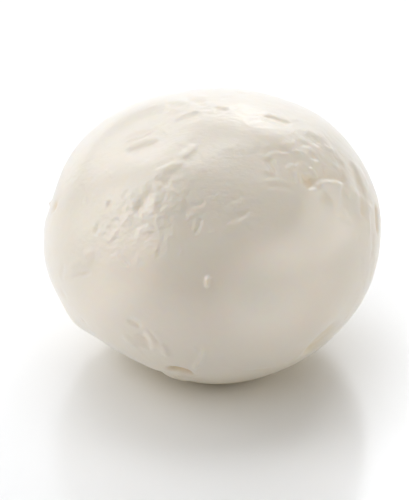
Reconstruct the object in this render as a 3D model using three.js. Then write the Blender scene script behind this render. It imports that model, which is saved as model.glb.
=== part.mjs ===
// A ball of fresh mozzarella of about 125 g, as it stands on a table once lifted out of its whey.
// Millimetres, +Z up. The origin is on the table, in the middle of the flat spot that the ball
// settles on, and the side with the deepest folds, where the curd was gathered, faces -Y.

import * as THREE from 'three';
import { mergeVertices } from 'three/addons/utils/BufferGeometryUtils.js';

// Driving dimensions, in millimetres and degrees.
const WIDTH = 66;              // across the ball, left to right and front to back
const CORE_HEIGHT = 55.4;      // of the rounded form alone, before it settles
const MIDDLE = 26.4;           // height of the form's centre above the table
const SETTLING = 1.5;          // how far the weight pushes the underside down
const SETTLING_SPREAD = 27;    // how far round from the lowest point that reaches, in degrees
const FOOT_ROUNDING = 0.5;     // height over which the flat spot turns up into the side
const SKIN_SPLITS = 22;        // parts that each edge of the starting icosahedron is cut into
const PATH_STEPS = 12;         // points that a fold's line is followed in
const END_TAPER = 0.25;        // share of a fold's length over which each end dies away
const BROAD_TAPER = 0.4;       // the same for the broad rolls and falls
const LEAST_TAPER = 1.5;       // half widths, the least length over which any end dies away
const END_WIDTH = 0.45;        // half width of a narrow fold's ends, as a share of its middle's
const STEP_TAIL = 2.4;         // half widths over which a step dies away on both sides
const FALL_TAIL = 2.8;         // the same for a fall
const LIP_STEP = 0.5;          // half the width of the drop at a lip's edge
const LIP_SHELF = 2.5;         // half widths over which a lip's high side falls away
const LIP_DIP = 0.5;           // depth just past a lip's edge, as a share of its rise

// The folds on the front are laid out on a flat sheet that stands through the ball's middle and
// leans back, and are carried on to the skin along straight lines from a point in front of it.
const SHEET_LEAN = 31;
const SHEET_REACH = 450;

// The folds of the back follow a rule with a fixed seed. The pairs are the least and the most.
const BACK_FOLDS = 20;
const BACK_SEED = 12;
const BACK_EDGE = -0.15;       // cosine that bounds the back: 0 would be exactly half the ball
const FOOT_CLEAR = -0.78;      // no fold has its middle lower on the unit ball than this
const BACK_HEADING = [-72, 72];    // degrees up from level
const BACK_LENGTH = [8, 22];
const BACK_BEND = [-0.25, 0.25];   // sideways shift of the ends, as a share of half the length
const BACK_HALF = [1.1, 1.9];
const BACK_RISE = [0.4, 0.9];

const semi = new THREE.Vector3(WIDTH / 2, WIDTH / 2, CORE_HEIGHT / 2);
const lean = THREE.MathUtils.degToRad(SHEET_LEAN);
const sheetRight = new THREE.Vector3(1, 0, 0);
const sheetUp = new THREE.Vector3(0, Math.sin(lean), Math.cos(lean));
const sheetFront = new THREE.Vector3(0, -Math.cos(lean), Math.sin(lean));

// Broad swells and hollows of the form: the direction on the sheet's clock, anticlockwise from
// the right, how far round they spread, and how far they rise.
const swells = [
  { clock: 20, spread: 16, rise: 0.2 },
  { clock: 48, spread: 16, rise: 0.5 },     // right shoulder
  { clock: 75, spread: 14, rise: -0.3 },
  { clock: 100, spread: 14, rise: -0.7 },   // slack crown
  { clock: 140, spread: 12, rise: 0.2 },
  { clock: 165, spread: 10, rise: -0.5 },
  { clock: 195, spread: 15, rise: 0.75 },   // left flank
  { clock: 216, spread: 8, rise: 0.9 },
  { clock: 240, spread: 14, rise: -1.7 },   // flat below the left flank
  { clock: 275, spread: 16, rise: 0.2 },
  { clock: 322, spread: 14, rise: -0.3 },
  { clock: 350, spread: 12, rise: -0.3 },
];

// A fold runs through points on the sheet. Its half width and its rise are in millimetres. A roll
// and a fall are broad and change the form: a roll is a bell, a fall a step. A ridge and a groove
// are the narrow bells. A step and a lip are the edges of one layer of skin that lies over the
// next, with the high side on the left.
const fold = (kind, half, rise, through) => ({ kind, half, rise, through });
const roll = (half, rise, ...through) => fold('roll', half, rise, through);
const fall = (half, rise, ...through) => fold('fall', half, rise, through);
const ridge = (half, rise, ...through) => fold('ridge', half, rise, through);
const groove = (half, depth, ...through) => fold('ridge', half, -depth, through);
const step = (half, rise, ...through) => fold('step', half, rise, through);

const rolls = [
  roll(7.5, -0.75, [-25.9, 13.4], [-3.4, 19.7]),
  roll(8.7, -0.95, [-14.5, 1.2], [17.8, 4.5]),
  roll(5.7, 0.95, [23.1, -10.4], [17.6, -23.2]),
  fall(3.9, 0.7, [-0.9, 19.5], [-18.6, 10.6]),
  fall(3.5, 0.85, [-2.3, 15.0], [18.6, 15.7]),
  fall(1.4, 0.3, [-9.5, 9.4], [-8.8, 3.1]),
];

const crownFolds = [
  step(0.7, 0.55, [-18.0, 16.0], [-14.3, 17.1], [-10.3, 18.4]),
  step(0.9, 0.4, [-9.0, 24.9], [-6.8, 25.1], [-4.6, 25.5]),
  step(1.0, 0.6, [-5.0, 25.7], [-3.1, 26.1], [-0.9, 26.3]),
  step(0.8, 0.35, [-8.0, 21.4], [-5.4, 22.8], [-2.5, 23.8]),
  step(0.8, 0.4, [9.0, 23.1], [11.1, 22.6], [13.3, 22.1], [15.6, 21.4]),
];

const longFold = [
  step(0.8, 0.35, [-4.6, 17.1], [-6.4, 15.6], [-7.8, 15.0]),
  step(0.8, 0.35, [-6.8, 14.2], [-5.2, 15.0], [-3.1, 16.5]),
  step(0.8, 0.35, [-12.5, 9.8], [-9.0, 11.8], [-5.4, 13.6]),
  groove(0.8, 0.25, [-11.8, 9.8], [-12.9, 7.3], [-14.7, 5.1], [-17.1, 3.8]),
  fall(1.2, 0.5, [-11.5, 8.3], [-12.3, 6.1], [-13.1, 4.1], [-14.1, 2.0]),
  groove(0.6, 0.2, [-20.1, 6.4], [-20.7, 5.4], [-21.5, 4.4]),
  groove(0.6, 0.2, [-22.7, 1.9], [-23.1, 0.5], [-23.9, -0.9]),
];

const middleFlap = [
  step(0.6, 0.2, [6.0, 6.6], [5.0, 6.3], [4.6, 5.1]),
  step(0.5, 0.2, [6.9, 4.3], [5.2, 2.4], [1.9, 1.1]),
  step(0.6, 0.3, [-6.4, 3.1], [-6.1, 4.9], [-5.8, 6.5]),
];

const rightShoulder = [
  step(0.9, 0.25, [12.3, 17.2], [15.5, 15.6], [18.2, 13.2]),
  groove(1.6, 0.5, [16.7, 11.5], [18.2, 10.3], [20.6, 7.8]),
  step(1.0, 0.75, [26.1, 8.3], [24.5, 9.7], [22.1, 9.9], [19.8, 9.3]),
  step(0.8, 0.3, [26.7, 6.3], [25.9, 7.5], [24.9, 8.9]),
  step(0.9, 0.5, [25.1, 9.6], [26.1, 8.1], [27.0, 6.1]),
  groove(1.4, 0.25, [21.8, 8.8], [22.0, 6.6], [22.2, 4.0]),
  step(1.0, 0.45, [23.7, 2.6], [24.7, 4.5], [25.1, 6.7], [24.5, 8.7]),
  step(1.2, 0.4, [28.1, 5.7], [28.4, 7.1], [27.3, 9.3]),
  step(1.2, 0.5, [26.7, 14.4], [28.5, 10.6], [30.0, 6.3]),
  step(1.1, 0.35, [30.6, 8.9], [29.6, 11.2], [28.2, 13.4]),
  step(1.7, 0.7, [29.8, 6.5], [30.2, 4.5], [30.8, 2.6]),
  step(1.2, 0.3, [17.2, 19.9], [18.8, 19.2], [20.4, 18.3], [21.9, 17.1]),
  groove(0.8, 0.4, [31.8, 5.9], [32.1, 2.7], [32.2, -1.2]),
];

const leftFlank = [
  step(0.7, 0.2, [-26.5, -7.5], [-24.1, -5.9], [-23.1, -4.9]),
  groove(1.4, 0.4, [-31.3, 6.2], [-31.3, 5.0], [-31.3, 3.8]),
  ridge(1.3, 0.45, [-32.6, 6.2], [-32.6, 5.2]),
];

const underFolds = [
  groove(1.0, 0.95, [-9.7, -27.1], [-7.3, -27.2], [-4.0, -28.3]),
  step(0.9, 0.8, [-10.1, -27.0], [-7.8, -29.1], [-4.2, -29.3]),
  ridge(1.1, 0.45, [-7.7, -27.9], [-6.3, -28.4]),
  ridge(0.5, 0.4, [-2.0, -21.8], [-2.6, -25.1], [-4.6, -27.9]),
  ridge(0.8, 0.3, [-4.8, -28.1], [-3.6, -28.7]),
  step(0.9, 0.7, [-14.1, -19.5], [-13.0, -21.3], [-12.5, -23.6]),
  ridge(0.8, 0.3, [-10.8, -21.8], [-9.8, -23.4], [-9.0, -25.0]),
  groove(0.7, 0.25, [-17.4, -17.4], [-15.8, -18.0], [-14.1, -18.9]),
  groove(2.3, 0.6, [23.7, -17.0], [21.7, -20.3], [19.3, -22.9], [17.0, -24.6]),
];

const folds = [crownFolds, longFold, middleFlap, rightShoulder, leftFlank, underFolds].flat();

// The point of the rounded form that a direction of the unit ball stands for, its centre at zero.
const onForm = (direction) => direction.clone().multiply(semi);

// The form's outward normal at a point of it: the point divided twice by the semi-axes.
const normalAt = (point) => point.clone().divide(semi).divide(semi).normalize();

// Where the line from the point in front through a point of the sheet meets the form. In the
// space where the form is a unit ball that is a quadratic, and a line that misses takes the
// place where it passes nearest.
function carryToForm([right, up]) {
  const from = sheetFront.clone().multiplyScalar(SHEET_REACH);
  const to = sheetRight.clone().multiplyScalar(right).addScaledVector(sheetUp, up);
  const start = from.divide(semi);
  const step = to.divide(semi).sub(start);
  const a = step.lengthSq();
  const b = start.dot(step);
  const c = start.lengthSq() - 1;
  const t = (-b - Math.sqrt(Math.max(b * b - a * c, 0))) / a;
  return onForm(start.addScaledVector(step, t).normalize());
}

// A fold's line on the form: a smooth curve through its points, pressed back on to the skin.
function lineOnForm(points) {
  const curve = new THREE.CatmullRomCurve3(points, false, 'catmullrom', 0.5);
  return curve.getPoints(PATH_STEPS).map((point) => onForm(point.divide(semi).normalize()));
}

// A fold on swollen skin is seen away from its place on the bare form by the lift times the share
// of the normal that lies in the sheet, so its points are moved back by that much.
function carryToSkin([right, up], swellShapes, rollShapes) {
  const under = carryToForm([right, up]);
  const normal = normalAt(under);
  const lift = swellAt(under.clone().divide(semi), swellShapes)
    + rollShapes.reduce((sum, shape) => sum + liftOf(shape, under, normal), 0);
  return carryToForm([right - lift * normal.dot(sheetRight), up - lift * normal.dot(sheetUp)]);
}

// Numbers between two bounds by the minimal standard rule: each state is 16807 times the last,
// modulo 2^31 - 1.
function drawFrom(seed) {
  const modulus = 2147483647;
  let state = seed;
  return ([least, most]) => {
    state = (state * 16807) % modulus;
    return least + (most - least) * state / modulus;
  };
}

// Folds of the back: their middles follow a golden spiral round the axis that points away from
// the front, and each runs as a shallow arc in a drawn direction.
function makeBackFolds() {
  const draw = drawFrom(BACK_SEED);
  const goldenTurn = Math.PI * (3 - Math.sqrt(5));
  const backFolds = [];
  for (let i = 0; i < BACK_FOLDS; i += 1) {
    const away = 1 - (1 + BACK_EDGE) * (i + 0.5) / BACK_FOLDS;
    const round = Math.sqrt(1 - away * away);
    const middle = sheetFront.clone().multiplyScalar(-away)
      .addScaledVector(sheetRight, round * Math.cos(i * goldenTurn))
      .addScaledVector(sheetUp, round * Math.sin(i * goldenTurn));
    const heading = THREE.MathUtils.degToRad(draw(BACK_HEADING));
    const reach = draw(BACK_LENGTH) / WIDTH;
    const bend = draw(BACK_BEND);
    const half = draw(BACK_HALF);
    const rise = draw(BACK_RISE);
    if (middle.z < FOOT_CLEAR) continue;
    const level = new THREE.Vector3(-middle.y, middle.x, 0).normalize();
    const upward = middle.clone().cross(level);
    const along = level.clone().multiplyScalar(Math.cos(heading))
      .addScaledVector(upward, Math.sin(heading));
    const across = middle.clone().cross(along);
    const points = [-1, -0.5, 0, 0.5, 1].map((t) => onForm(middle.clone()
      .addScaledVector(along, t * reach)
      .addScaledVector(across, t * t * bend * reach)
      .normalize()));
    const kind = i % 3 === 1 ? 'ridge' : 'lip';
    backFolds.push({ kind, half, rise: kind === 'ridge' ? -rise : rise, line: lineOnForm(points) });
  }
  return backFolds;
}

// How far a fold lifts a point that lies side millimetres to the left of its line.
// Roll and ridge: a bell curve. Fall and step: a smooth step that dies away on both sides. Lip: a
// sharper step with a long high side and a dip just past the edge on the low side.
function profile(kind, half, rise, side) {
  const spread = side / half;
  if (kind === 'roll' || kind === 'ridge') return rise * Math.exp(-spread * spread);
  if (kind === 'fall' || kind === 'step') {
    const tail = kind === 'fall' ? FALL_TAIL : STEP_TAIL;
    return rise / 2 * Math.tanh(spread) * Math.exp(-((spread / tail) ** 2));
  }
  const high = 0.5 + 0.5 * Math.tanh(side / LIP_STEP);
  const shelf = Math.exp(-Math.max(spread, 0) / LIP_SHELF);
  const dip = LIP_DIP * Math.exp(-Math.max(-spread, 0));
  return rise * (high * shelf - (1 - high) * dip);
}

// The lift that one fold gives a point of the form: the profile at its distance from the nearest
// stretch of the line, faded out towards the line's two ends over half of it each at the most. A
// narrow fold also grows narrower towards them.
function liftOf({ kind, half, rise, line }, point, normal) {
  const broad = kind === 'roll' || kind === 'fall';
  const length = line.slice(1).reduce((sum, end, i) => sum + end.distanceTo(line[i]), 0);
  const leastTaper = LEAST_TAPER * half / length;
  const taper = Math.min(Math.max(broad ? BROAD_TAPER : END_TAPER, leastTaper), 0.5);
  let nearest = Infinity;
  let lift = 0;
  for (let i = 0; i + 1 < line.length; i += 1) {
    const along = line[i + 1].clone().sub(line[i]);
    const toPoint = point.clone().sub(line[i]);
    const share = THREE.MathUtils.clamp(toPoint.dot(along) / along.lengthSq(), 0, 1);
    const offset = toPoint.addScaledVector(along, -share);
    const distance = offset.length();
    if (distance >= nearest) continue;
    nearest = distance;
    const left = normal.clone().cross(along).dot(offset) < 0 ? -1 : 1;
    const place = (i + share) / (line.length - 1);
    const fade = THREE.MathUtils.smoothstep(Math.min(place, 1 - place), 0, taper);
    const halfHere = broad ? half : half * THREE.MathUtils.lerp(END_WIDTH, 1, fade);
    lift = fade * profile(kind, halfHere, rise, left * distance);
  }
  return lift;
}

// The swells as directions of the unit ball, with the settling of the underside as one more.
function makeSwellShapes() {
  return swells.map(({ clock, spread, rise }) => {
    const angle = THREE.MathUtils.degToRad(clock);
    const towards = sheetRight.clone().multiplyScalar(Math.cos(angle))
      .addScaledVector(sheetUp, Math.sin(angle));
    return { towards, spread, rise };
  }).concat({
    towards: new THREE.Vector3(0, 0, -1),
    spread: SETTLING_SPREAD,
    rise: SETTLING,
  });
}

// Lift of all swells at a unit direction: each is its rise times e to the power of how far the
// cosine of the angle to its own direction falls short of 1, over the same for its spread.
function swellAt(direction, swellShapes) {
  return swellShapes.reduce((sum, { towards, spread, rise }) => {
    const width = 1 - Math.cos(THREE.MathUtils.degToRad(spread));
    return sum + rise * Math.exp((direction.dot(towards) - 1) / width);
  }, 0);
}

// The skin: every corner of a finely split icosahedron is put on the rounded form, lifted along
// the normal by the swells, the settling and the folds, and what would sink into the table is
// pressed flat.
function makeSkin() {
  const swellShapes = makeSwellShapes();
  const rollShapes = rolls.map((shape) => ({
    ...shape,
    line: lineOnForm(shape.through.map(carryToForm)),
  }));
  const foldShapes = folds.map((shape) => ({
    ...shape,
    line: lineOnForm(shape.through.map((point) => carryToSkin(point, swellShapes, rollShapes))),
  }));
  const shapes = [...rollShapes, ...foldShapes, ...makeBackFolds()];

  const ball = new THREE.IcosahedronGeometry(1, SKIN_SPLITS);
  ball.deleteAttribute('normal');
  ball.deleteAttribute('uv');
  const skin = mergeVertices(ball, 1e-5);
  const corners = skin.getAttribute('position');
  const direction = new THREE.Vector3();
  for (let i = 0; i < corners.count; i += 1) {
    direction.fromBufferAttribute(corners, i).normalize();
    const point = onForm(direction);
    const normal = normalAt(point);
    let lift = swellAt(direction, swellShapes);
    for (const shape of shapes) lift += liftOf(shape, point, normal);
    point.addScaledVector(normal, lift);
    corners.setXYZ(i, point.x, point.y, aboveTable(point.z + MIDDLE));
  }
  skin.computeVertexNormals();
  return skin;
}

// Height once pressed on the table: flat below, unchanged above, and a parabola between.
function aboveTable(height) {
  if (height < -FOOT_ROUNDING) return 0;
  if (height > FOOT_ROUNDING) return height;
  return (height + FOOT_ROUNDING) ** 2 / (4 * FOOT_ROUNDING);
}

const freshCurd = new THREE.MeshStandardMaterial({
  color: 0xefebe2,
  roughness: 0.42,
  metalness: 0,
});

const ball = new THREE.Mesh(makeSkin(), freshCurd);
ball.name = 'mozzarella_ball';

const mozzarella = new THREE.Group();
mozzarella.add(ball);

export default mozzarella;
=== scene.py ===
import math

import bpy
import numpy as np
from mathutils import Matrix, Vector


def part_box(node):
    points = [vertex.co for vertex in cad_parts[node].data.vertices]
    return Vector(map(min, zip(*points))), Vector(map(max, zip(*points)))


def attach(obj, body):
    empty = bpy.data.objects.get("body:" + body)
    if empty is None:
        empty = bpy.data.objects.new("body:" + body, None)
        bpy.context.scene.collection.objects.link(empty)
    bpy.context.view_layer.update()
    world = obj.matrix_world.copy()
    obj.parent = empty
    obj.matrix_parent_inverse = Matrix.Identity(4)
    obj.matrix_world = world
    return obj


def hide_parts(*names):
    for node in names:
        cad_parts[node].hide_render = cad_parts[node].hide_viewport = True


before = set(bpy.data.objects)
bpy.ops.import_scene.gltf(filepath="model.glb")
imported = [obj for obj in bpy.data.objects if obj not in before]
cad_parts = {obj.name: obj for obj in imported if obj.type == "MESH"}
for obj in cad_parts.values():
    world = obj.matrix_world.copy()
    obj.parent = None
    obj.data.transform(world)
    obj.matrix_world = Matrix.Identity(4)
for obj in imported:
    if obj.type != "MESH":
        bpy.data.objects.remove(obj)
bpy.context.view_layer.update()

# --- The eye -----------------------------------------------------------------------------------
# A long lens looks down on the ball from the front. It is aimed a little to the left of the
# ball's middle and below it, which leaves room at the bottom for the ball's reflection.
MM = 0.001             # m
MIDDLE = 26.4          # mm, height of the ball's middle above the table
EYE_LEAN = 31.0        # degrees up from level
EYE_REACH = 450.0      # mm from the ball's middle
AIM_LEFT = 1.8         # mm
AIM_DOWN = 3.5         # mm
LENS = 164.5           # mm, focal length
SENSOR = 36.0          # mm, longer side of the sensor behind the lens
NEAREST = 0.01         # m, what is closer to the lens than this isn't drawn

lean = math.radians(EYE_LEAN)
sheet_right = np.array([1.0, 0.0, 0.0])
sheet_up = np.array([0.0, math.sin(lean), math.cos(lean)])
sheet_front = np.array([0.0, -math.cos(lean), math.sin(lean)])
ball_middle = np.array([0.0, 0.0, MIDDLE])


def look_along(thing, place, target):
    """Puts a camera or lamp at a place and turns its own -Z to the target, its +Y upwards."""
    thing.location = Vector(place)
    thing.rotation_euler = (Vector(target) - Vector(place)).to_track_quat("-Z", "Y").to_euler()


eye = bpy.data.objects.new("eye", bpy.data.cameras.new("eye"))
bpy.context.scene.collection.objects.link(eye)
eye.data.lens = LENS
eye.data.sensor_width = SENSOR
eye.data.clip_start = NEAREST
aim = ball_middle - AIM_LEFT * sheet_right - AIM_DOWN * sheet_up
look_along(eye, (aim + EYE_REACH * sheet_front) * MM, aim * MM)
bpy.context.scene.camera = eye

# --- The ball: its round form ------------------------------------------------------------------
# Fresh mozzarella is stretched curd rounded by hand and dropped in cold water. It sags a little
# when it is lifted out, so the form is an ellipsoid with broad swells and hollows.
SEMI = np.array([33.0, 33.0, 27.7])      # mm, half the width, depth and height
SETTLING = (27, 1.5)                     # the weight's bell underneath: degrees of spread, mm down
SWELLS = [     # degrees anticlockwise from the right, seen by the eye; degrees of spread; mm out
    (20, 16, 0.2),
    (48, 16, 0.5),       # right shoulder
    (75, 14, -0.3),
    (100, 14, -0.7),     # slack crown
    (140, 12, 0.2),
    (165, 10, -0.5),
    (195, 15, 0.75),     # left flank
    (216, 8, 0.9),
    (240, 14, -1.7),     # flat below the left flank
    (275, 16, 0.2),
    (322, 14, -0.3),
    (350, 12, -0.3),
]


def on_form(directions):
    """Points of the ellipsoid: each unit direction times the semi-axes, about the ball's middle."""
    return directions * SEMI


def unit(vectors):
    """Each vector divided by its length."""
    return vectors / np.linalg.norm(vectors, axis=-1, keepdims=True)


def swell_lift(directions):
    """Sum of bells: each is its rise times e to ((c - 1) / (1 - cosine of its spread)), where c
    is the cosine of the angle to its direction. The last bell points straight down."""
    bells = [
        (math.cos(math.radians(clock)) * sheet_right + math.sin(math.radians(clock)) * sheet_up,
         spread, rise)
        for clock, spread, rise in SWELLS
    ]
    bells.append((np.array([0.0, 0.0, -1.0]), *SETTLING))
    return sum(
        rise * np.exp((directions @ towards - 1) / (1 - math.cos(math.radians(spread))))
        for towards, spread, rise in bells
    )


# --- The ball: folds of the skin on the front --------------------------------------------------
# Where the curd was stretched over and pinched off, one layer of skin lies over the next and is
# creased where it is slack. Most folds lie on the crown, by the long one left of the middle, and
# on the right shoulder.

# Each fold is its kind, its half width and rise in mm, then the points it runs through, in mm to
# the right and up on a flat sheet through the ball's middle that faces the eye. A roll and a
# ridge are a swelling along the line, sunk where the rise is negative. A fall and a step are
# higher on the line's left, as the edge of an upper layer is. Rolls and falls are the broad ones.
BROAD_FOLDS = [
    ("roll", 7.5, -0.75, (-25.9, 13.4), (-3.4, 19.7)),
    ("roll", 8.7, -0.95, (-14.5, 1.2), (17.8, 4.5)),
    ("fall", 3.9, 0.7, (-0.9, 19.5), (-18.6, 10.6)),
    ("fall", 3.5, 0.85, (-2.3, 15.0), (18.6, 15.7)),
    ("fall", 1.4, 0.3, (-9.5, 9.4), (-8.8, 3.1)),
    ("roll", 5.7, 0.95, (23.1, -10.4), (17.6, -23.2)),
]
CROWN_FOLDS = [
    ("step", 0.6, 0.3, (-11.1, 20.0), (-12.7, 19.2), (-14.5, 18.5), (-16.4, 18.0), (-18.4, 17.2)),
    ("step", 0.7, 0.55, (-18.0, 16.0), (-16.2, 16.5), (-14.3, 17.1), (-12.3, 17.7), (-10.3, 18.4)),
    ("ridge", 0.3, 0.08, (-12.8, 21.7), (-11.8, 21.1), (-10.5, 20.4), (-9.3, 19.5), (-8.7, 18.5)),
    ("step", 0.8, 0.25, (-13.1, 22.6), (-12.3, 22.3), (-11.3, 22.2)),
    ("step", 0.8, 0.2, (-13.9, 24.0), (-11.7, 24.1), (-9.5, 24.0)),
    ("step", 0.7, 0.1, (-11.3, 23.0), (-9.9, 23.3), (-8.6, 23.8)),
    ("ridge", 0.7, -0.06, (-10.5, 23.0), (-9.3, 23.6), (-8.1, 24.0)),
    ("step", 0.5, 0.06, (-11.3, 22.6), (-10.5, 22.2), (-9.7, 21.9)),
    ("step", 0.9, 0.4, (-9.0, 24.9), (-6.8, 25.1), (-4.6, 25.5)),
    ("step", 1.0, 0.6, (-5.0, 25.7), (-3.1, 26.1), (-0.9, 26.3)),
    ("step", 0.8, 0.35, (-8.0, 21.4), (-6.8, 22.2), (-5.4, 22.8), (-3.8, 23.4), (-2.5, 23.8)),
    ("step", 0.8, 0.3, (1.5, 26.8), (2.5, 26.6), (3.4, 26.3)),
    ("step", 0.9, 0.2, (3.8, 27.6), (5.4, 27.5), (7.2, 27.3)),
    ("step", 0.7, 0.3, (-0.3, 24.5), (1.5, 24.3), (3.4, 23.9)),
    ("step", 0.5, 0.15, (2.9, 24.0), (4.2, 24.7), (6.0, 25.3)),
    ("step", 0.8, 0.4, (9.0, 23.1), (11.1, 22.6), (13.3, 22.1), (15.6, 21.4)),
    ("step", 1.1, 0.2, (16.4, 20.3), (13.7, 20.6), (11.3, 21.4), (8.8, 22.2)),
    ("step", 0.6, 0.12, (19.4, 19.9), (18.2, 20.5), (17.2, 20.7), (15.6, 20.2)),
    ("ridge", 0.4, -0.04, (6.4, 21.5), (7.5, 21.9), (8.9, 22.1)),
    ("step", 0.9, 0.15, (8.0, 18.5), (9.5, 18.2), (11.3, 17.5)),
    ("step", 0.7, 0.08, (12.9, 25.2), (14.3, 24.8), (15.5, 24.4)),
    ("step", 0.6, 0.06, (-1.7, 24.6), (-0.3, 25.0), (0.9, 25.0)),
    ("ridge", 0.4, 0.04, (1.6, 16.1), (3.0, 16.4), (4.8, 17.1)),
    ("step", 0.8, 0.1, (-9.2, 25.6), (-10.5, 25.2)),
    ("step", 1.0, 0.1, (-19.2, 20.7), (-17.2, 21.3), (-15.5, 22.0)),
    ("step", 0.7, 0.1, (-23.1, 16.1), (-24.3, 15.7)),
]
LONG_FOLDS = [
    ("step", 0.5, 0.15, (-2.7, 17.0), (-4.2, 17.1), (-5.6, 17.2)),
    ("step", 0.8, 0.35, (-4.6, 17.1), (-5.4, 16.2), (-6.4, 15.6), (-7.8, 15.0)),
    ("step", 0.4, 0.25, (-7.2, 14.2), (-8.6, 13.5), (-10.5, 12.6), (-11.9, 12.0)),
    ("step", 0.8, 0.35, (-6.8, 14.2), (-5.2, 15.0), (-4.2, 15.9), (-3.1, 16.5)),
    ("step", 0.8, 0.35, (-12.5, 9.8), (-10.7, 10.9), (-9.0, 11.8), (-7.2, 12.7), (-5.4, 13.6)),
    ("step", 0.7, 0.25, (-11.1, 10.0), (-9.7, 10.3), (-8.4, 10.6)),
    ("ridge", 0.3, 0.04, (-8.5, 10.5), (-8.4, 9.5)),
    ("ridge", 0.8, -0.25, (-11.8, 9.8), (-12.3, 8.6), (-12.9, 7.3), (-13.8, 6.2), (-14.7, 5.1),
     (-15.7, 4.3), (-17.1, 3.8)),
    ("ridge", 0.6, -0.12, (-17.1, 3.8), (-18.3, 3.6), (-19.3, 3.2)),
    ("ridge", 0.5, 0.04, (-10.1, 9.7), (-11.3, 9.0), (-11.8, 7.6), (-11.6, 5.9), (-11.9, 3.9)),
    ("ridge", 0.4, 0.04, (-11.4, 2.8), (-11.4, 0.5)),
    ("fall", 1.2, 0.5, (-11.5, 8.3), (-12.3, 6.1), (-13.1, 4.1), (-14.1, 2.0)),
    ("ridge", 0.3, 0.06, (-14.2, 4.4), (-14.2, 3.1), (-14.3, 1.9)),
    ("step", 0.5, 0.15, (-6.4, 7.3), (-7.8, 8.0), (-9.2, 8.5), (-10.5, 8.6)),
    ("step", 0.6, 0.3, (-6.4, 3.1), (-6.1, 4.9), (-5.8, 6.5)),
    ("step", 0.6, 0.25, (-5.0, 4.1), (-5.3, 3.1), (-5.2, 2.2)),
    ("step", 0.6, 0.25, (-10.9, 0.8), (-9.5, 0.9), (-8.2, 1.2)),
    ("ridge", 0.4, -0.08, (-12.5, 2.4), (-11.7, 2.1)),
    ("step", 0.5, 0.2, (-2.3, 6.5), (-1.9, 5.5), (-3.2, 4.7), (-4.4, 4.5)),
    ("step", 0.4, 0.1, (-3.8, 2.8), (-4.2, 1.2), (-4.6, -0.2)),
    ("ridge", 0.4, -0.12, (-2.8, 2.8), (-3.0, 1.0), (-3.9, -1.2)),
    ("ridge", 0.3, 0.04, (0.8, 7.7), (0.5, 6.5)),
    ("ridge", 0.7, -0.15, (-16.6, 8.1), (-17.5, 7.3), (-18.5, 6.3)),
    ("ridge", 0.6, -0.2, (-20.1, 6.4), (-20.7, 5.4), (-21.5, 4.4)),
    ("ridge", 0.7, -0.15, (-24.5, 7.0), (-25.3, 6.0), (-25.9, 5.0)),
    ("ridge", 0.3, 0.06, (-21.6, 12.4), (-20.6, 11.3), (-19.6, 10.3)),
    ("ridge", 0.6, -0.04, (-23.0, 11.1), (-23.9, 10.3), (-24.7, 9.1)),
    ("step", 0.5, 0.2, (-11.3, 1.0), (-13.3, 0.7), (-15.1, 0.4), (-15.6, -0.8), (-16.2, -2.0)),
    ("step", 0.5, 0.12, (-14.7, -1.6), (-13.3, -0.4), (-11.5, 0.0)),
    ("ridge", 0.6, 0.12, (-16.8, 3.6), (-17.3, 2.4), (-18.3, 0.7)),
    ("ridge", 0.6, 0.12, (-18.9, 0.9), (-19.9, -0.9), (-21.4, -2.2)),
    ("ridge", 0.5, -0.08, (-18.8, 3.1), (-19.7, 1.5), (-21.3, -0.1)),
    ("ridge", 0.6, -0.2, (-22.7, 1.9), (-23.1, 0.5), (-23.9, -0.9)),
    ("ridge", 0.5, 0.08, (-11.6, -3.2), (-11.3, -4.4)),
    ("step", 0.4, 0.08, (-11.7, -5.3), (-11.1, -4.1), (-10.7, -2.4)),
    ("ridge", 0.3, 0.04, (-6.1, -3.4), (-6.6, -4.4), (-7.0, -5.5)),
    ("ridge", 0.4, -0.08, (-18.4, -4.9), (-17.6, -5.9), (-16.6, -7.1)),
    ("step", 0.7, 0.1, (-20.2, -4.7), (-19.0, -6.3), (-17.6, -7.7), (-16.2, -7.5)),
    ("ridge", 0.5, 0.04, (-14.8, -4.3), (-15.2, -5.9), (-15.6, -7.7)),
    ("ridge", 0.4, 0.04, (-8.8, -0.1), (-9.3, -1.7), (-9.0, -3.0)),
    ("ridge", 0.4, -0.04, (-8.0, 4.9), (-8.2, 3.8)),
    ("ridge", 0.4, -0.04, (-17.8, -0.9), (-16.6, -0.9), (-15.4, -0.3)),
    ("ridge", 0.4, -0.04, (-21.9, -1.6), (-20.8, -2.6)),
]
FLAP_FOLDS = [
    ("step", 0.6, 0.2, (6.0, 6.6), (5.0, 6.3), (4.6, 5.1)),
    ("step", 0.5, 0.15, (4.1, 6.7), (3.7, 5.5), (3.6, 4.3)),
    ("step", 0.5, 0.15, (4.0, 3.5), (5.4, 3.9), (6.6, 4.9)),
    ("step", 0.5, 0.2, (6.9, 4.3), (6.5, 3.1), (5.2, 2.4), (3.4, 1.9), (1.9, 1.1)),
    ("step", 0.5, 0.08, (8.2, 0.2), (7.8, 1.2), (6.8, 2.2)),
    ("ridge", 0.4, -0.04, (0.8, -0.2), (1.2, -1.4)),
    ("ridge", 0.4, 0.04, (-1.3, -0.4), (0.5, -0.0)),
    ("ridge", 0.3, 0.03, (2.4, 12.9), (2.5, 12.0)),
    ("ridge", 0.4, -0.03, (-1.3, 12.4), (-0.9, 11.2)),
    ("ridge", 0.4, 0.35, (-0.9, -8.5), (-1.4, -9.8), (-1.5, -11.5)),
    ("ridge", 0.3, 0.04, (1.6, -11.8), (2.6, -12.0)),
]
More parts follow.
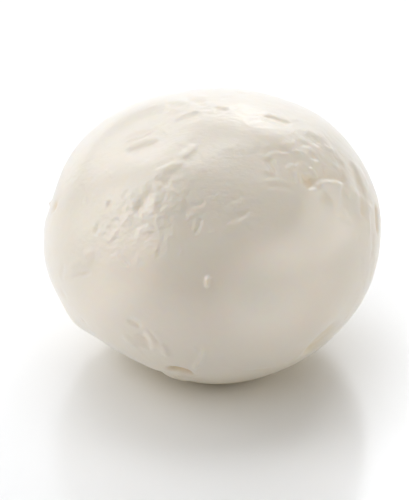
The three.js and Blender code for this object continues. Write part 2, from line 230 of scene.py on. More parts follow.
SHOULDER_FOLDS = [
    ("step", 0.9, 0.25, (12.3, 17.2), (13.9, 16.4), (15.5, 15.6), (17.0, 14.4), (18.2, 13.2)),
    ("step", 0.4, 0.2, (15.3, 15.4), (13.7, 15.6), (12.5, 15.8), (11.1, 15.4), (9.9, 14.6)),
    ("step", 0.5, 0.08, (10.9, 14.8), (9.7, 15.0), (8.4, 14.8)),
    ("step", 0.5, 0.2, (12.3, 10.6), (11.5, 11.8), (10.5, 13.1), (9.4, 14.0)),
    ("step", 0.5, 0.2, (11.5, 14.4), (11.9, 13.0), (12.6, 11.4)),
    ("step", 0.6, 0.15, (9.7, 12.0), (10.7, 11.4), (11.7, 10.8)),
    ("step", 0.5, 0.2, (16.2, 12.8), (15.5, 13.3), (14.7, 13.0), (13.9, 12.2)),
    ("step", 0.5, 0.2, (17.4, 9.3), (17.0, 10.8), (16.2, 12.4)),
    ("ridge", 0.4, 0.04, (14.5, 12.6), (14.5, 10.9)),
    ("ridge", 0.5, -0.1, (15.3, 11.8), (15.7, 10.4), (15.8, 9.5)),
    ("ridge", 1.6, -0.5, (16.7, 11.5), (18.2, 10.3), (19.6, 9.2), (20.6, 7.8)),
    ("step", 0.4, 0.1, (21.4, 8.7), (19.6, 8.1), (18.0, 8.6), (16.6, 9.8)),
    ("ridge", 0.5, 0.2, (18.6, 12.6), (19.6, 11.6), (20.8, 10.3)),
    ("ridge", 0.5, 0.04, (16.7, 14.0), (17.9, 13.2), (18.9, 12.4)),
    ("ridge", 0.5, 0.06, (20.0, 14.0), (21.0, 12.5), (22.2, 10.5)),
    ("step", 0.6, 0.12, (21.0, 13.6), (21.6, 12.6), (22.3, 11.8)),
    ("step", 0.4, 0.06, (16.4, 9.4), (14.7, 9.9), (12.1, 10.3), (9.4, 10.1)),
    ("step", 0.4, 0.06, (17.2, 7.2), (13.7, 8.0), (9.9, 8.4)),
    ("step", 0.5, 0.06, (9.9, 9.4), (13.1, 9.1), (16.2, 8.6)),
    ("step", 1.0, 0.75, (26.1, 8.3), (24.5, 9.7), (22.1, 9.9), (19.8, 9.3)),
    ("step", 0.8, 0.3, (26.7, 6.3), (25.9, 7.5), (24.9, 8.9)),
    ("step", 0.9, 0.5, (25.1, 9.6), (26.1, 8.1), (27.0, 6.1)),
    ("ridge", 1.6, -0.25, (21.5, 8.5), (21.9, 6.4), (22.1, 3.6)),
    ("step", 1.0, 0.45, (23.7, 2.6), (24.7, 4.5), (25.1, 6.7), (24.5, 8.7)),
    ("ridge", 1.2, -0.15, (25.4, 10.0), (26.1, 9.3), (26.7, 8.5)),
    ("step", 1.2, 0.4, (28.1, 5.7), (28.4, 7.1), (28.2, 8.3), (27.3, 9.3)),
    ("step", 1.2, 0.5, (26.7, 14.4), (27.7, 12.6), (28.5, 10.6), (29.3, 8.5), (30.0, 6.3)),
    ("step", 1.1, 0.35, (30.6, 8.9), (29.6, 11.2), (28.2, 13.4)),
    ("step", 1.7, 0.7, (29.8, 6.5), (30.2, 4.5), (30.8, 2.6)),
    ("step", 1.2, 0.3, (17.2, 19.9), (18.8, 19.2), (20.4, 18.3), (21.9, 17.1)),
    ("ridge", 0.8, -0.1, (16.6, 18.1), (17.8, 17.1), (18.2, 16.3)),
    ("ridge", 0.8, -0.2, (18.8, 15.9), (19.6, 14.7), (20.2, 13.6)),
    ("ridge", 0.6, 0.08, (16.1, 16.1), (16.5, 15.2)),
    ("ridge", 0.5, 0.06, (17.3, 16.0), (18.7, 14.0), (20.0, 12.4)),
    ("ridge", 0.6, 0.06, (19.2, 17.4), (20.6, 16.0), (21.4, 14.2)),
    ("ridge", 0.7, 0.1, (22.6, 16.8), (23.8, 15.5)),
    ("step", 0.8, 0.2, (21.4, 16.9), (22.5, 15.9), (23.3, 15.0)),
    ("step", 0.8, 0.2, (23.7, 14.6), (24.9, 13.8), (26.1, 12.4)),
    ("ridge", 0.6, 0.06, (22.8, 14.1), (24.2, 12.5), (25.3, 10.7)),
    ("step", 0.7, 0.15, (15.1, 17.5), (16.2, 16.9)),
    ("ridge", 0.6, 0.2, (30.2, 5.3), (30.5, 2.3), (30.6, -1.8)),
    ("ridge", 0.8, -0.4, (31.8, 5.9), (32.1, 2.7), (32.2, -1.2)),
    ("ridge", 0.7, -0.12, (28.9, 5.5), (29.3, 3.9), (29.5, 2.7)),
    ("ridge", 0.6, -0.08, (26.7, 2.9), (26.9, 0.7)),
    ("ridge", 0.8, -0.12, (31.2, -0.0), (31.3, -2.8), (30.8, -5.9)),
    ("ridge", 0.6, -0.08, (28.3, -0.0), (28.6, -2.4)),
    ("ridge", 0.5, 0.06, (25.5, 5.2), (26.3, 3.9), (26.7, 2.3)),
]
FLANK_FOLDS = [
    ("ridge", 0.7, 0.12, (-23.6, -3.6), (-24.7, -4.2), (-25.9, -5.1)),
    ("ridge", 0.6, 0.1, (-25.9, -5.5), (-27.3, -6.3), (-28.7, -7.1)),
    ("step", 0.7, 0.2, (-26.5, -7.5), (-25.3, -6.9), (-24.1, -5.9), (-23.1, -4.9)),
    ("ridge", 0.4, -0.15, (-23.9, -7.6), (-25.2, -8.4), (-27.4, -9.0), (-29.8, -9.7)),
    ("ridge", 0.8, -0.1, (-29.6, -5.9), (-29.8, -7.9), (-30.2, -9.4)),
    ("ridge", 0.3, 0.04, (-24.9, -7.7), (-26.5, -8.1)),
    ("ridge", 1.4, -0.4, (-31.3, 6.2), (-31.3, 5.0), (-31.3, 3.8)),
    ("ridge", 1.3, 0.45, (-32.6, 6.2), (-32.6, 5.2)),
    ("ridge", 0.5, -0.08, (-21.8, -11.2), (-21.7, -12.0)),
    ("ridge", 0.7, -0.08, (-28.0, 16.0), (-27.4, 15.0)),
    ("ridge", 0.6, 0.1, (-26.9, -16.9), (-25.0, -18.8), (-23.0, -20.2)),
    ("ridge", 0.6, -0.15, (-26.3, -17.0), (-24.9, -18.2)),
    ("ridge", 0.8, -0.1, (-30.4, -11.4), (-28.8, -12.9)),
]
FOOT_FOLDS = [
    ("ridge", 1.0, -0.95, (-9.7, -27.1), (-7.3, -27.2), (-5.7, -27.7), (-4.0, -28.3)),
    ("step", 0.9, 0.8, (-10.1, -27.0), (-9.3, -28.3), (-7.8, -29.1), (-5.8, -29.3), (-4.2, -29.3)),
    ("ridge", 1.1, 0.45, (-7.7, -27.9), (-6.3, -28.4)),
    ("ridge", 0.5, 0.4, (-2.0, -21.8), (-2.2, -23.7), (-2.6, -25.1), (-3.5, -26.3), (-4.6, -27.9)),
    ("ridge", 0.8, 0.3, (-4.8, -28.1), (-3.6, -28.7)),
    ("ridge", 0.4, 0.06, (-4.4, -22.5), (-3.0, -24.3)),
    ("step", 0.9, 0.7, (-14.1, -19.5), (-13.0, -21.3), (-12.5, -23.6)),
    ("ridge", 0.5, -0.15, (-13.6, -18.9), (-12.2, -20.3), (-11.0, -21.9), (-9.8, -23.9)),
    ("ridge", 0.8, 0.3, (-10.8, -21.8), (-9.8, -23.4), (-9.0, -25.0)),
    ("ridge", 0.7, -0.25, (-17.4, -17.4), (-15.8, -18.0), (-14.1, -18.9)),
    ("ridge", 1.1, 0.2, (-18.0, -19.9), (-16.6, -21.6), (-15.0, -23.0)),
    ("ridge", 2.3, -0.6, (23.7, -17.0), (21.7, -20.3), (19.3, -22.9), (17.0, -24.6)),
    ("ridge", 0.6, 0.15, (25.5, -17.5), (26.7, -16.3)),
    ("ridge", 0.6, 0.15, (18.7, -22.3), (16.9, -24.3), (14.9, -25.9)),
    ("ridge", 0.9, 0.08, (0.2, -26.2), (5.2, -26.4), (9.5, -26.0)),
    ("ridge", 0.7, -0.1, (5.1, -27.4), (8.7, -27.2), (11.8, -26.8)),
]
BROAD_KINDS = ("roll", "fall")     # they change the form, not only its skin
BELL_KINDS = ("roll", "ridge")     # they have a bell for their profile
FOLD_STEPS = 12       # stretches that a fold's line is followed in
BROAD_STEPS = 60      # the same for a broad kind, whose bends would show as facets
END_TAPER = 0.25      # share of the line over which each end of a fold dies away
BROAD_TAPER = 0.4     # the same for a broad kind
LEAST_TAPER = 1.5     # half widths, the least length over which an end dies away
MOST_TAPER = 0.5      # share of the line, the most: there the two ends' tapers meet
END_WIDTH = 0.45      # half width of a narrow kind at its ends, as a share of that at the middle
STEP_TAIL = 2.4       # half widths over which a step dies away on both sides
FALL_TAIL = 2.8       # the same for a fall
LIP_STEP = 0.3        # mm, half the width of the drop at a lip's edge
LIP_SHELF = 2.5       # half widths over which a lip's high side falls away
LIP_DIP = 0.5         # depth just past a lip's edge, as a share of its rise
BELL_REACH = 4.0      # half widths past which a roll or a ridge lifts nothing
EDGE_REACH = 12.0     # the same for a fall, a step or a lip


def carry_to_form(sheet_points):
    """Where the lines from the eye through points of the sheet meet the ellipsoid. With all
    divided by the semi-axes it is a unit ball, and a line meets it at the nearer root of a
    quadratic. A line that misses it gives the ball's point under the line's nearest pass."""
    start = EYE_REACH * sheet_front / SEMI
    step = (sheet_points @ np.stack([sheet_right, sheet_up])) / SEMI - start
    a = (step * step).sum(1)
    b = step @ start
    c = start @ start - 1
    t = (-b - np.sqrt(np.maximum(b * b - a * c, 0))) / a
    return on_form(unit(start + t[:, None] * step))


def smooth_line(points, steps=FOLD_STEPS):
    """Catmull-Rom: between two points, the cubic whose slope at each is half the way from the
    point before it to the point after it. Each point of the line is then put on the ellipsoid."""
    padded = np.vstack([2 * points[0] - points[1], points, 2 * points[-1] - points[-2]])
    t = np.linspace(0, len(points) - 1, steps + 1)
    i = np.minimum(t.astype(int), len(points) - 2)
    f = (t - i)[:, None]
    p0, p1, p2, p3 = (padded[i + k] for k in range(4))
    cubic = 2 * p1 + (p2 - p0) * f + (2 * p0 - 5 * p1 + 4 * p2 - p3) * f ** 2
    cubic = (cubic + (3 * p1 - p0 - 3 * p2 + p3) * f ** 3) / 2
    return on_form(unit(cubic / SEMI))


def profile(kind, half, rise, side):
    """Lift at side mm left of a fold's line, with s as side over half. Roll and ridge: the rise
    times e to -s^2. Fall and step: half the rise times tanh s, times e to -(s / tail)^2. Lip: a
    sharper step, whose high side fades as e to -(s / shelf) and whose dip fades as e to s."""
    spread = side / half
    if kind in BELL_KINDS:
        return rise * np.exp(-spread ** 2)
    if kind in ("fall", "step"):
        tail = FALL_TAIL if kind == "fall" else STEP_TAIL
        return rise / 2 * np.tanh(spread) * np.exp(-(spread / tail) ** 2)
    high = 0.5 + 0.5 * np.tanh(side / LIP_STEP)
    shelf = np.exp(-np.maximum(spread, 0) / LIP_SHELF)
    dip = LIP_DIP * np.exp(-np.maximum(-spread, 0))
    return rise * (high * shelf - (1 - high) * dip)


def beside_line(line, spots, normals):
    """For each spot, its distance to the nearest stretch of a line, positive where it lies left
    of it, and the place of that nearest point along the line, from 0 to 1."""
    nearest = np.full(len(spots), np.inf)
    side = np.zeros(len(spots))
    place = np.zeros(len(spots))
    for i, (start, end) in enumerate(zip(line[:-1], line[1:])):
        along = end - start
        share = np.clip(((spots - start) @ along) / (along @ along), 0, 1)
        offset = spots - start - share[:, None] * along
        distance = np.linalg.norm(offset, axis=1)
        closer = distance < nearest
        left = np.sign((np.cross(normals, along) * offset).sum(1))
        nearest = np.where(closer, distance, nearest)
        side = np.where(closer, left * distance, side)
        place = np.where(closer, (i + share) / (len(line) - 1), place)
    return side, place


def fold_lift(kind, half, rise, line, spots, normals):
    """Lift that a fold gives each spot: its profile beside its line. Over the taper at each end
    it fades by the ease 3 f^2 - 2 f^3, f growing from 0 to 1, and a narrow kind narrows too."""
    reach = half * (BELL_REACH if kind in BELL_KINDS else EDGE_REACH)
    centre = line.mean(0)
    radius = np.linalg.norm(line - centre, axis=1).max() + reach
    close = np.flatnonzero(np.linalg.norm(spots - centre, axis=1) < radius)
    side, place = beside_line(line, spots[close], normals[close])
    length = np.linalg.norm(np.diff(line, axis=0), axis=1).sum()
    taper = BROAD_TAPER if kind in BROAD_KINDS else END_TAPER
    taper = min(max(taper, LEAST_TAPER * half / length), MOST_TAPER)
    fade = np.clip(np.minimum(place, 1 - place) / taper, 0, 1)
    fade = fade * fade * (3 - 2 * fade)
    if kind not in BROAD_KINDS:
        half = half * (END_WIDTH + (1 - END_WIDTH) * fade)
    lift = np.zeros(len(spots))
    lift[close] = profile(kind, half, rise, side) * fade
    return lift


def carry_to_skin(sheet_points, broad_folds):
    """Points of the ellipsoid that the swells and broad folds lift to where the eye sees them at
    points of the sheet. The lift along a spot's normal moves it on the sheet by the lift times
    the normal's part in the sheet, so the points are moved back by that before they are carried."""
    under = carry_to_form(sheet_points)
    normals = unit(under / SEMI ** 2)
    lift = swell_lift(unit(under / SEMI))
    for fold in broad_folds:
        lift = lift + fold_lift(*fold, under, normals)
    moved = lift[:, None] * (normals @ np.stack([sheet_right, sheet_up], 1))
    return carry_to_form(sheet_points - moved)


broad_folds = [
    (kind, half, rise, smooth_line(carry_to_form(np.array(points)), BROAD_STEPS))
    for kind, half, rise, *points in BROAD_FOLDS
]
front_folds = broad_folds + [
    (kind, half, rise, smooth_line(carry_to_skin(np.array(points), broad_folds)))
    for group in (CROWN_FOLDS, LONG_FOLDS, FLAP_FOLDS, SHOULDER_FOLDS, FLANK_FOLDS, FOOT_FOLDS)
    for kind, half, rise, *points in group
]

# --- The ball: folds of the back ---------------------------------------------------------------
# The back is the same skin: long overlaps, called lips here, and every third fold a crease.
# Their middles follow a golden spiral round the axis that points away from the eye.
BACK_FOLDS = 20
CREASE_EVERY = 3
BACK_SEED = 12
BACK_EDGE = -0.15              # cosine that bounds the back: 0 would be exactly half the ball
FOOT_CLEAR = -0.78             # no fold has its middle lower on the unit ball than this
BACK_HEADING = (-72, 72)       # degrees up from level, least and most
BACK_LENGTH = (8, 22)          # mm
BACK_BEND = (-0.25, 0.25)      # sideways shift of the ends, as a share of half the length
BACK_HALF = (1.1, 1.9)         # mm
BACK_RISE = (0.4, 0.9)         # mm
ARC_POINTS = 5                 # that a fold's arc runs through
GOLDEN_TURN = math.pi * (3 - math.sqrt(5))


class Draws:
    """Minimal standard random numbers: each state is FACTOR times the last, modulo MODULUS."""
    FACTOR = 16807
    MODULUS = 2 ** 31 - 1

    def __init__(self, seed):
        self.state = seed

    def between(self, bounds):
        """The next number, its share of the modulus measured off between the bounds."""
        self.state = self.state * self.FACTOR % self.MODULUS
        return bounds[0] + (bounds[1] - bounds[0]) * self.state / self.MODULUS


def arc_on_form(middle, heading, reach, bend):
    """A shallow arc about a unit direction: points middle + t reach along + t^2 bend reach across
    for t from -1 to 1, each put back on the ellipsoid. Along is the heading up from level."""
    level = unit(np.array([-middle[1], middle[0], 0.0]))
    along = math.cos(heading) * level + math.sin(heading) * np.cross(middle, level)
    t = np.linspace(-1, 1, ARC_POINTS)[:, None]
    points = middle + t * reach * along + t * t * bend * reach * np.cross(middle, along)
    return smooth_line(on_form(unit(points)))


draws = Draws(BACK_SEED)
back_folds = []
for i in range(BACK_FOLDS):
    away = 1 - (1 + BACK_EDGE) * (i + 0.5) / BACK_FOLDS
    around = math.sqrt(1 - away * away)
    middle = (-away * sheet_front + around * math.cos(i * GOLDEN_TURN) * sheet_right
              + around * math.sin(i * GOLDEN_TURN) * sheet_up)
    heading = math.radians(draws.between(BACK_HEADING))
    reach = draws.between(BACK_LENGTH) / (2 * SEMI[0])
    bend = draws.between(BACK_BEND)
    half = draws.between(BACK_HALF)
    rise = draws.between(BACK_RISE)
    if middle[2] < FOOT_CLEAR:
        continue
    line = arc_on_form(middle, heading, reach, bend)
    if i % CREASE_EVERY == 1:
        back_folds.append(("ridge", half, -rise, line))
    else:
        back_folds.append(("lip", half, rise, line))

# --- The ball: fine unevenness -----------------------------------------------------------------
# Hand-rounded curd is never quite smooth. Soft lumps a few millimetres across cover it all, and
# they also push the folds a little off their lines, so that no edge is ruled.
LUMPS = [(9.0, 0.09), (4.0, 0.05), (1.9, 0.02)]      # mm across, mm high
WANDER = [(5.0, 0.3), (1.8, 0.2), (0.9, 0.07)]       # mm across, mm that folds are pushed sideways
PATCHY = (2.2, 0.5)      # mm across, share by which it makes folds deeper and shallower
LUMP_SEED = 3
WANDER_SEED = 11
PATCHY_SEED = 7
CRINKLES = [     # middle, half size, degrees turned; grain mm; share creased; mm high
    ((6.0, 23.0), (17.0, 3.6), 0, (3.0, 0.9), 0.5, 0.08),         # crown
    ((-10.0, 21.0), (9.0, 5.0), 15, (2.6, 1.0), 0.5, 0.04),       # crown, left
    ((20.0, 15.0), (8.0, 6.0), -50, (2.8, 1.0), 0.5, 0.05),       # shoulder
    ((-15.0, 2.5), (11.0, 6.0), 38, (2.2, 1.3), 0.3, 0.12),       # where the long fold ends
    ((-25.0, 8.0), (9.0, 13.0), 0, (1.1, 0.9), 0.4, 0.04),        # left flank
    ((0.0, 4.5), (9.0, 4.5), 0, (1.9, 1.5), 0.2, 0.05),           # middle
    ((2.0, 14.0), (9.0, 5.0), 0, (1.2, 1.0), 0.2, 0.02),          # below the crown
    ((30.5, -4.0), (3.0, 13.0), 0, (0.9, 4.5), 0.4, 0.06),        # right edge
    ((-14.0, -21.5), (8.0, 4.0), -50, (3.0, 1.0), 0.4, 0.04),     # low left
]
CRINKLE_SEEDS = (29, 31)     # of the drawn out noise, and of the finer noise on top
FINER = 2.1                  # times that the noise on top is finer
PLAIN_GAIN = 2.0             # what the plain noise is multiplied by
CREASE_CREST = 0.6           # height of a sharp crease where its noise is 0
CREASE_FALL = 3.0            # how fast it falls away as its noise moves off 0
SOFT_EDGE = 2                # power of a patch's falloff: a bell
PAINTED_LIGHT_PATCHES = [     # painted light, lighter patches: middle, half size, degrees turned; share of the lighter colour
    ((11.0, -10.3), (8.8, 10.8), -55, 0.85),       # low right, a painted sheen
    ((-5.0, -14.0), (20.4, 7.5), -3, 0.37),        # low, from side to side
    ((-17.0, -7.0), (5.9, 9.7), -32, 0.52),        # left, below the torn skin
]
FIRM_EDGE = 4                # the power for a patch of painted light: a flatter middle and a steeper edge
CORNER_PRIMES = np.array([73856093, 19349663, 83492791])     # give a lattice corner its number
SEED_PRIME = 2654435761                                      # makes it another for each seed
STIRRING = [(13, 1274126177), (16, 1103515245)]              # bits shifted and factor: mix its bits
LOW_31_BITS = 0x7FFFFFFF
LOW_16_BITS = 0xFFFF
TOP_SHIFT = 15     # brings the top 16 of the 31 bits down


def lattice_noise(points, seed):
    """Gradient noise: a pseudo-random slope at each corner of a unit lattice, blended between the
    eight corners round a point by the fifth-power ease curve. About -0.7 to 0.7."""
    cell = np.floor(points).astype(np.int64)
    inside = points - cell
    ease = inside ** 3 * (inside * (inside * 6 - 15) + 10)
    total = np.zeros(len(points))
    for corner in np.ndindex(2, 2, 2):
        key = (cell + corner) @ CORNER_PRIMES + seed * SEED_PRIME
        for shift, factor in STIRRING:
            key = (key ^ (key >> shift)) * factor & LOW_31_BITS
        turn = 2 * math.pi * (key & LOW_16_BITS) / (LOW_16_BITS + 1)
        height = 2 * ((key >> TOP_SHIFT) & LOW_16_BITS) / (LOW_16_BITS + 1) - 1
        flat = np.sqrt(1 - height * height)
        slope = np.stack([flat * np.cos(turn), flat * np.sin(turn), height], 1)
        weight = np.prod(np.where(corner, ease, 1 - ease), 1)
        total += weight * (slope * (inside - corner)).sum(1)
    return total


def across_patch(points, middle, turn):
    """Distances from a patch's middle along its heading, turned on the sheet, and square to it."""
    heading = math.radians(turn)
    offset = points - middle[0] * sheet_right - middle[1] * sheet_up
    along = math.cos(heading) * sheet_right + math.sin(heading) * sheet_up
    across = math.cos(heading) * sheet_up - math.sin(heading) * sheet_right
    return offset @ along, offset @ across


def within_patch(points, middle, half_size, turn, power):
    """e to -(r ^ power) on the front, r being the distance from the middle in half sizes."""
    a, b = across_patch(points, middle, turn)
    r = np.hypot(a / half_size[0], b / half_size[1])
    return np.exp(-r ** power) * (points @ sheet_front > 0)


def crinkle(points, middle, half_size, turn, grain, creased, high):
    """Noise on a lattice drawn out along a patch's heading: a mix of the noise times a gain and
    of sharp creases, a crest less the fall times |noise|, with finer noise on top."""
    a, b = across_patch(points, middle, turn)
    drawn = np.stack([a / grain[0], b / grain[1], points @ sheet_front / max(grain)], 1)
    coarse, fine = CRINKLE_SEEDS
    noise = lattice_noise(drawn, coarse)
    sharp = CREASE_CREST - CREASE_FALL * abs(noise)
    noise = creased * sharp + (1 - creased) * PLAIN_GAIN * noise
    noise = noise + lattice_noise(drawn * FINER, fine)
    return high * noise * within_patch(points, middle, half_size, turn, SOFT_EDGE)


# --- The ball: its skin as a mesh --------------------------------------------------------------
# Six square grids wrapped on to the ellipsoid, their edges joined, then lifted along the normal
# and pressed flat where the ball stands.
SKIN_CELLS = 128       # grid cells along each edge of the six squares: under 200,000 triangles
SAME_POINT = 7         # decimals to which two points of the unit ball are taken for one
FRONT_SPACING = 0.55   # spacing of the points at the front, as a share of their mean spacing
TINY = 1e-12           # keeps a division by a length of 0 from failing
FOOT_ROUNDING = 0.5    # mm over which the flat spot turns up into the side
BACK_CREASE_SHADE = 0.3   # share of a back fold's depth that counts towards the painted crease shade
FOOT_SHADE_HEIGHT = 4.6    # mm above the table over which the painted shade by the foot thins out


def ball_grid(cells):
    """Unit directions and faces of a ball. A point on a side of the cube lies the tangents of two
    angles from -45 to 45 degrees off its middle, and is divided by its length. Points that the
    sides share are made one, after adding 0 has turned -0 to 0."""
    t = np.tan(np.linspace(-math.pi / 4, math.pi / 4, cells + 1))
    a, b = (grid.ravel() for grid in np.meshgrid(t, t, indexing="ij"))
    one = np.ones_like(a)
    sides = [(one, a, b), (-one, b, a), (b, one, a), (a, -one, b), (a, b, one), (b, a, -one)]
    directions = unit(np.concatenate([np.stack(side, 1) for side in sides]))
    row = np.arange(cells)
    corner = (row[:, None] * (cells + 1) + row).ravel()
    square = np.stack([corner, corner + cells + 1, corner + cells + 2, corner + 1], 1)
    faces = np.concatenate([square + k * (cells + 1) ** 2 for k in range(6)])
    _, first, merged = np.unique(
        np.round(directions, SAME_POINT) + 0.0, axis=0, return_index=True, return_inverse=True)
    return directions[first], merged.ravel()[faces]


def above_table(height):
    """Height once pressed on the table: 0 below it, unchanged above it, and within the rounding
    r of it the parabola (height + r)^2 / 4r, which meets both without a kink."""
    bend = (height + FOOT_ROUNDING) ** 2 / (4 * FOOT_ROUNDING)
    return np.where(height < -FOOT_ROUNDING, 0, np.where(height > FOOT_ROUNDING, height, bend))


def crowd_to(directions, towards, spacing):
    """Slides points round the ball so that they are packed closer about one direction, with no
    change to the shape of a small patch: the tangent of half the angle to that direction, which
    is the distance in stereographic projection, is multiplied by the spacing."""
    c = directions @ towards
    near = (1 + c) - spacing ** 2 * (1 - c)
    whole = (1 + c) + spacing ** 2 * (1 - c)
    across = directions - c[:, None] * towards
    size = 2 * spacing * np.sqrt(np.maximum(1 - c * c, 0)) / whole
    length = np.linalg.norm(across, axis=1)
    side = across * (size / np.maximum(length, TINY))[:, None]
    return unit(side + (near / whole)[:, None] * towards)


directions, faces = ball_grid(SKIN_CELLS)
directions = crowd_to(directions, sheet_front, FRONT_SPACING)
spots = on_form(directions)
normals = unit(directions / SEMI)
wander = sum(
    push * np.stack([lattice_noise(spots / across, WANDER_SEED + axis) for axis in range(3)], 1)
    for across, push in WANDER
)
wandered = spots + wander
patchy = 1 + PATCHY[1] * lattice_noise(spots / PATCHY[0], PATCHY_SEED)
folds_lift = np.zeros(len(spots))
crease_shade_depth = np.zeros(len(spots))      # mm, how deep the creases are, for the painted shade in them
for folds, crease_shading in ((front_folds, 1.0), (back_folds, BACK_CREASE_SHADE)):
    for kind, half, rise, line in folds:
        lift = fold_lift(kind, half, rise, line, wandered, normals)
        if kind not in BROAD_KINDS:
            lift *= patchy
            crease_shade_depth -= crease_shading * np.minimum(lift, 0)
        folds_lift += lift
lumps = sum(
    high * lattice_noise(spots / across, LUMP_SEED + k)
    for k, (across, high) in enumerate(LUMPS)
)
crinkles = sum(crinkle(wandered, *patch) for patch in CRINKLES)
skin = spots + normals * (swell_lift(directions) + folds_lift + lumps + crinkles)[:, None]
skin[:, 2] = above_table(skin[:, 2] + MIDDLE)

mesh = bpy.data.meshes.new("mozzarella_skin")
mesh.vertices.add(len(skin))
mesh.vertices.foreach_set("co", (skin * MM).astype(np.float32).ravel())
mesh.loops.add(faces.size)
mesh.loops.foreach_set("vertex_index", faces.astype(np.int32).ravel())
mesh.polygons.add(len(faces))
mesh.polygons.foreach_set("loop_start", np.arange(0, faces.size, 4, dtype=np.int32))
mesh.update(calc_edges=True)
mesh.validate()
mesh.shade_smooth()

# What the curd's material reads at each point: how deep a crease is, for the painted shade in it,
# the painted light of the lighter patches, how crinkled it is, and the painted shade by the foot.
# Painted light: lighter patches laid where the skin shows more light than the lamps give it.
painted_light = sum(
    share * within_patch(spots, middle, half_size, turn, FIRM_EDGE)
    for middle, half_size, turn, share in PAINTED_LIGHT_PATCHES
)
crinkled = sum(within_patch(spots, *patch[:3], SOFT_EDGE) for patch in CRINKLES)
for name, values in [
    ("painted_crease_shade", np.clip(crease_shade_depth, 0, 1)),
    ("painted_light", painted_light),
    ("crinkled", np.clip(crinkled, 0, 1)),
    # painted shade by the foot, darker towards the table
    ("painted_foot_shade", np.exp(-skin[:, 2] / FOOT_SHADE_HEIGHT)),
]:
    attribute = mesh.attributes.new(name, "FLOAT", "POINT")
    attribute.data.foreach_set("value", values.astype(np.float32))

ball = bpy.data.objects.new("mozzarella_skin", mesh)
bpy.context.scene.collection.objects.link(ball)
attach(ball, "root")
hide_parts("mozzarella_ball")

# --- The curd ----------------------------------------------------------------------------------
# Fresh stretched curd, milk-white and wet with whey: light goes a few millimetres into it before
# it comes out, so its shadows are soft and warm, and the film of whey gives a satin gloss.
CURD = "#E6DED1"
CURD_CREASE_SHADE = "#E0C48C"             # painted shade: the creases tinted yellower and darker, for the warm shade in them
CURD_PAINTED_LIGHT = "#F9EEE2"             # painted light: lighter patches where the skin shows more light
CURD_FOOT_SHADE = "#B09434"           # painted shade by the foot, darker and yellower towards the table
CREASE_SHADE_DEPTHS = (0.08, 0.6)           # mm deep, where the painted shade in a crease starts and where it is full
MOST_CREASE_SHADE = 0.4                   # the most of the creases' painted shade that is mixed in
GRAIN = 1.2                       # mm; the curd's fibres are finer, and are this coarse to show at all
GRAIN_DRAWN = (0.6, 1.0, 1.0)     # the fibres are drawn out from side to side
GRAIN_DETAIL = 3.0                # rounds of finer noise on top
GRAIN_ROUGHNESS = 0.6             # how much each round counts beside the one before
GRAIN_HEIGHT = 0.1                # mm
GRAIN_STRENGTH = 0.2              # share of that height that shows on the smooth skin
GRAIN_CRINKLED = 0.75             # share that is added where the skin is crinkled


def linear(hex_colour):
    """sRGB hex to linear RGBA: c / 12.92 below 0.04045, else ((c + 0.055) / 1.055) ^ 2.4."""
    c = np.array([int(hex_colour[i:i + 2], 16) / 255 for i in (1, 3, 5)])
    return (*np.where(c < 0.04045, c / 12.92, ((c + 0.055) / 1.055) ** 2.4), 1.0)


def add(tree, kind, inputs=(), **settings):
    """Adds a node, sets its settings, and gives each input a value or links it to a socket."""
    node = tree.nodes.new(kind)
    for name, value in settings.items():
        setattr(node, name, value)
    for name, value in dict(inputs).items():
        if isinstance(value, bpy.types.NodeSocket):
            tree.links.new(value, node.inputs[name])
        else:
            node.inputs[name].default_value = value
    return node


curd = bpy.data.materials.new("fresh_curd_wet")
curd.use_nodes = True
tree = curd.node_tree
tree.nodes.clear()
stored = {
    name: add(tree, "ShaderNodeAttribute", attribute_name=name).outputs["Fac"]
    for name in ("painted_crease_shade", "painted_light", "crinkled", "painted_foot_shade")
}
# Painted shade in the creases: yellower and darker the deeper they are.
crease_shade_share = add(tree, "ShaderNodeMapRange", {
    "Value": stored["painted_crease_shade"],
    "From Min": CREASE_SHADE_DEPTHS[0],
    "From Max": CREASE_SHADE_DEPTHS[1],
    "To Max": MOST_CREASE_SHADE,
})
colour = linear(CURD)
for share, tint in [
    # painted shade in the creases
    (crease_shade_share.outputs["Result"], CURD_CREASE_SHADE),
    # painted light in the lighter patches
    (stored["painted_light"], CURD_PAINTED_LIGHT),
    # painted shade by the foot
    (stored["painted_foot_shade"], CURD_FOOT_SHADE),
]:
    layers = {"Factor": share, "A": colour, "B": linear(tint)}
    colour = add(tree, "ShaderNodeMix", layers, data_type="RGBA").outputs["Result"]
place = add(tree, "ShaderNodeTexCoord").outputs["Object"]
drawn = add(tree, "ShaderNodeMapping", {"Vector": place, "Scale": GRAIN_DRAWN})
grain = add(tree, "ShaderNodeTexNoise", {
    "Vector": drawn.outputs["Vector"],
    "Scale": 1 / (GRAIN * MM),
    "Detail": GRAIN_DETAIL,
    "Roughness": GRAIN_ROUGHNESS,
})
strength = add(tree, "ShaderNodeMath", {
    0: stored["crinkled"],
    1: GRAIN_CRINKLED,
    2: GRAIN_STRENGTH,
}, operation="MULTIPLY_ADD")
bump = add(tree, "ShaderNodeBump", {
    "Height": grain.outputs["Fac"],
    "Strength": strength.outputs["Value"],
    "Distance": GRAIN_HEIGHT * MM,
})
shader = add(tree, "ShaderNodeBsdfPrincipled", {
    "Base Color": colour,
    "Roughness": 0.42,
    "IOR": 1.4,
    "Subsurface Weight": 1.0,
    "Subsurface Radius": (1.0, 0.8, 0.55),
    "Subsurface Scale": 0.6 * MM,
    "Coat Weight": 1.0,
    "Coat Roughness": 0.28,
    "Coat IOR": 1.5,
    "Normal": bump.outputs["Normal"],
})
add(tree, "ShaderNodeOutputMaterial", {"Surface": shader.outputs["BSDF"]})
mesh.materials.append(curd)

# --- The table ---------------------------------------------------------------------------------
# A cast sheet of white acrylic with a faintly dull polish, in which the ball is mirrored softly.
# It is large enough to fill the eye's whole view.
ACRYLIC = "#F7F7F7"
TABLE_HALF = 3.0      # m
TABLE_SINK = 0.02     # mm, so that the foot doesn't share its plane
CORNERS = [(-1, -1), (1, -1), (1, 1), (-1, 1)]      # in halves of the table, to the right and back

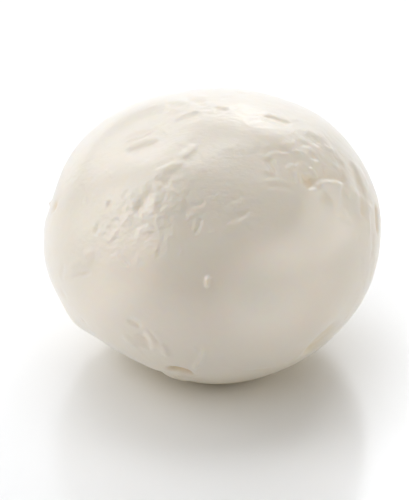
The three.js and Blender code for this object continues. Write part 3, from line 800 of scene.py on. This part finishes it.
table_mesh = bpy.data.meshes.new("table")
table_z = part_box("mozzarella_ball")[0].z - TABLE_SINK * MM
table_mesh.from_pydata(
    [(x * TABLE_HALF, y * TABLE_HALF, table_z) for x, y in CORNERS], [], [(0, 1, 2, 3)])
table = bpy.data.objects.new("table", table_mesh)
bpy.context.scene.collection.objects.link(table)
acrylic = bpy.data.materials.new("white_acrylic")
acrylic.use_nodes = True
tree = acrylic.node_tree
tree.nodes.clear()
shader = add(tree, "ShaderNodeBsdfPrincipled", {
    "Base Color": linear(ACRYLIC),
    "Roughness": 0.2,
    "IOR": 1.49,
    "Specular IOR Level": 0.8,
})
add(tree, "ShaderNodeOutputMaterial", {"Surface": shader.outputs["BSDF"]})
table_mesh.materials.append(acrylic)

# --- The light ---------------------------------------------------------------------------------
# Nine softboxes hang behind, above and to the left, over a low strip that glows across the back.
# Six white cards at the sides and the front corners throw back a slightly warmer light, and
# hardly any comes from the room.
DAYLIGHT = "#FAFCFF"
WHITE_CARD = "#FFFDF8"
ROOM_WHITE = "#F4F4F2"
ROOM_STRENGTH = 0.01
BOXES = [     # name, colour, place in m, width and height in m, power in W
    ("sweep_glow", DAYLIGHT, (0.0, 0.95, 0.10), (2.2, 0.22), 1.8),
    ("back_low_box", DAYLIGHT, (0.18, 0.93, 0.335), (0.8, 0.32), 1.02),
    ("back_box", DAYLIGHT, (-0.15, 0.8, 0.6), (0.8, 0.32), 1.6),
    ("back_right_box", DAYLIGHT, (0.31, 0.76, 0.6), (0.4, 0.32), 1.35),
    ("back_left_box", DAYLIGHT, (-0.8, 0.8, 0.6), (0.5, 0.5), 1.25),
    ("back_top_box", DAYLIGHT, (0.0, 0.25, 1.0), (0.8, 0.4), 2.85),
    ("back_top_left_box", DAYLIGHT, (-0.4, 0.5, 0.85), (0.5, 0.4), 0.7),
    ("top_box", DAYLIGHT, (0.0, 0.0, 1.0), (0.8, 0.8), 0.6),
    ("left_top_box", DAYLIGHT, (-0.7, 0.05, 0.75), (0.5, 0.5), 1.92),
    ("left_front_top_box", DAYLIGHT, (-0.5, -0.5, 0.7), (0.5, 0.5), 1.1),
    ("left_low_card", WHITE_CARD, (-0.95, 0.0, 0.10), (0.9, 0.22), 0.3),
    ("right_low_card", WHITE_CARD, (0.95, 0.0, 0.10), (0.9, 0.22), 0.5),
    ("left_card", WHITE_CARD, (-0.8, 0.0, 0.30), (0.6, 0.6), 2.0),
    ("right_card", WHITE_CARD, (0.8, 0.0, 0.30), (0.6, 0.6), 2.1),
    ("left_front_card", WHITE_CARD, (-0.6, -0.5, 0.35), (0.5, 0.5), 0.8),
    ("right_front_card", WHITE_CARD, (0.6, -0.5, 0.35), (0.5, 0.5), 1.25),
]
for name, hue, place_m, (wide, high), power in BOXES:
    box = bpy.data.objects.new(name, bpy.data.lights.new(name, "AREA"))
    bpy.context.scene.collection.objects.link(box)
    box.data.shape = "RECTANGLE"
    box.data.size = wide
    box.data.size_y = high
    box.data.color = linear(hue)[:3]
    box.data.energy = power
    look_along(box, place_m, ball_middle * MM)
    box.visible_camera = False

room = bpy.data.worlds.new("pale_room")
bpy.context.scene.world = room
room.use_nodes = True
background = room.node_tree.nodes["Background"]
background.inputs["Color"].default_value = linear(ROOM_WHITE)
background.inputs["Strength"].default_value = ROOM_STRENGTH
bpy.context.scene.view_settings.view_transform = "Standard"
